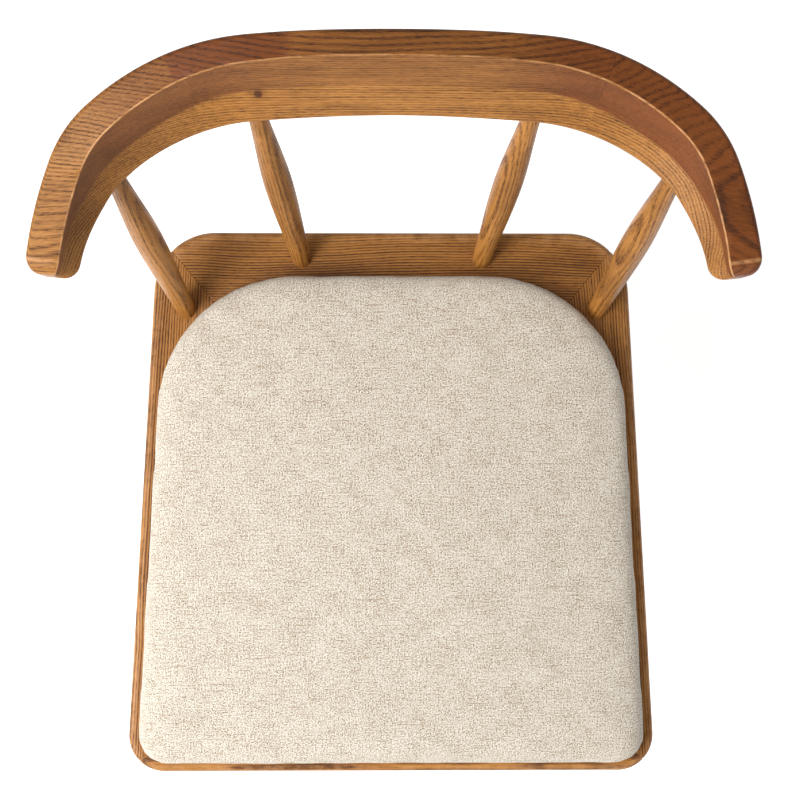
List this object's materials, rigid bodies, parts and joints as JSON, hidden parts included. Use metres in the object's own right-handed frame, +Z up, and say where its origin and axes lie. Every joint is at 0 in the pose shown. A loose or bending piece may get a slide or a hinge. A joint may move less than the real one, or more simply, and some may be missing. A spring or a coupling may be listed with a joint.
{
  "type": "wooden armchair",
  "caption": "Low-backed wooden armchair: curved top rail with short arms on turned spindles, mitred seat frame, linen drop-in pad, turned splayed legs.",
  "frame": {"origin": "on the floor, at the middle of the overall width and depth", "axes": "+Z up; the sitter faces -Y; +X is the sitter's left"},
  "size_m": [0.5542, 0.598, 0.75],
  "materials": {
    "seat_frame_wood": "satin",
    "plywood": "matte",
    "block_wood": "matte",
    "steel": "satin",
    "leg_wood": "satin",
    "glide_felt": "matte",
    "spindle_wood": "satin",
    "top_rail_wood": "satin",
    "foam": "matte",
    "linen": "matte",
    "dust_cloth": "matte"
  },
  "bodies": {
    "root": {"front_seat_rail": "seat_frame_wood", "back_seat_rail": "seat_frame_wood", "left_seat_rail": "seat_frame_wood", "right_seat_rail": "seat_frame_wood", "mitre_splines": "plywood", "front_left_corner_block": "block_wood", "front_right_corner_block": "block_wood", "rear_left_corner_block": "block_wood", "rear_right_corner_block": "block_wood", "block_screws": "steel", "front_left_leg": "leg_wood", "front_right_leg": "leg_wood", "rear_left_leg": "leg_wood", "rear_right_leg": "leg_wood", "leg_glides": "glide_felt", "inner_left_spindle": "spindle_wood", "inner_right_spindle": "spindle_wood", "outer_left_spindle": "spindle_wood", "outer_right_spindle": "spindle_wood", "top_rail_centre": "top_rail_wood", "top_rail_left_arm": "top_rail_wood", "top_rail_right_arm": "top_rail_wood", "rail_joint_dowels": "block_wood", "seat_board": "plywood", "seat_foam": "foam", "seat_cover": "linen", "cover_staples": "steel", "dust_cover": "dust_cloth", "seat_screws": "steel"}
  },
  "joints": []
}
